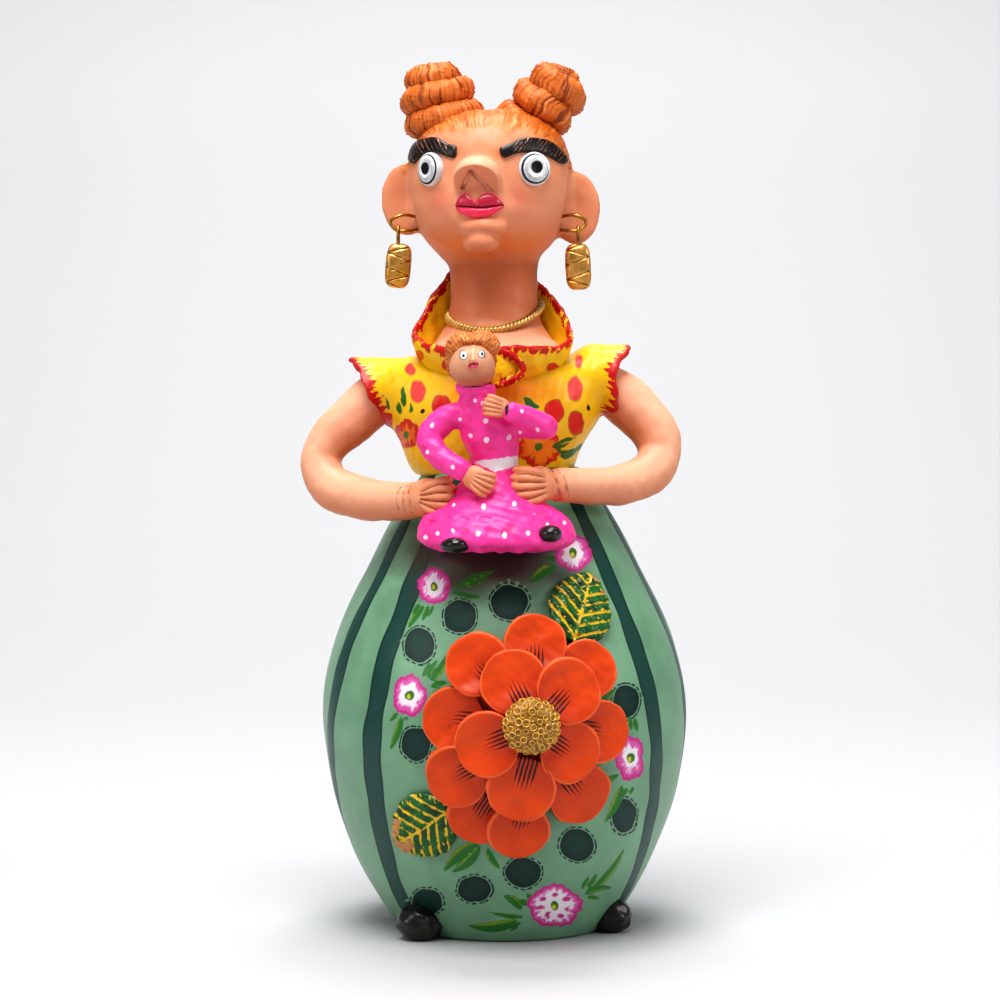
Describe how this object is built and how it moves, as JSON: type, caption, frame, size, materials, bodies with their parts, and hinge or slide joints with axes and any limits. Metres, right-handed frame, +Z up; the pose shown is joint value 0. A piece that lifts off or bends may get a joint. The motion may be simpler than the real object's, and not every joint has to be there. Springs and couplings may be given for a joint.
{
  "type": "ceramic folk figurine",
  "caption": "Painted clay figurine of a woman with a round skirt, coiled hair buns and hanging earrings, holding a seated child, with a large flower on the skirt.",
  "frame": {"origin": "middle of the flat underside that the figurine stands on", "axes": "+Z up, the figure faces -Y, +X towards the figure's own left hand"},
  "size_m": [0.1428, 0.1508, 0.3198],
  "materials": {
    "painted_clay": "fired clay, painted in bright colours and varnished to a soft gloss",
    "gold_wire": "gold-coloured wire",
    "gilt_clay": "clay painted gold"
  },
  "bodies": {
    "root": {"figurine": "painted_clay", "right_ear_hoop": "gold_wire", "right_earring_link": "gold_wire", "right_earring_drop": "gilt_clay", "left_ear_hoop": "gold_wire", "left_earring_link": "gold_wire", "left_earring_drop": "gilt_clay"}
  },
  "joints": []
}
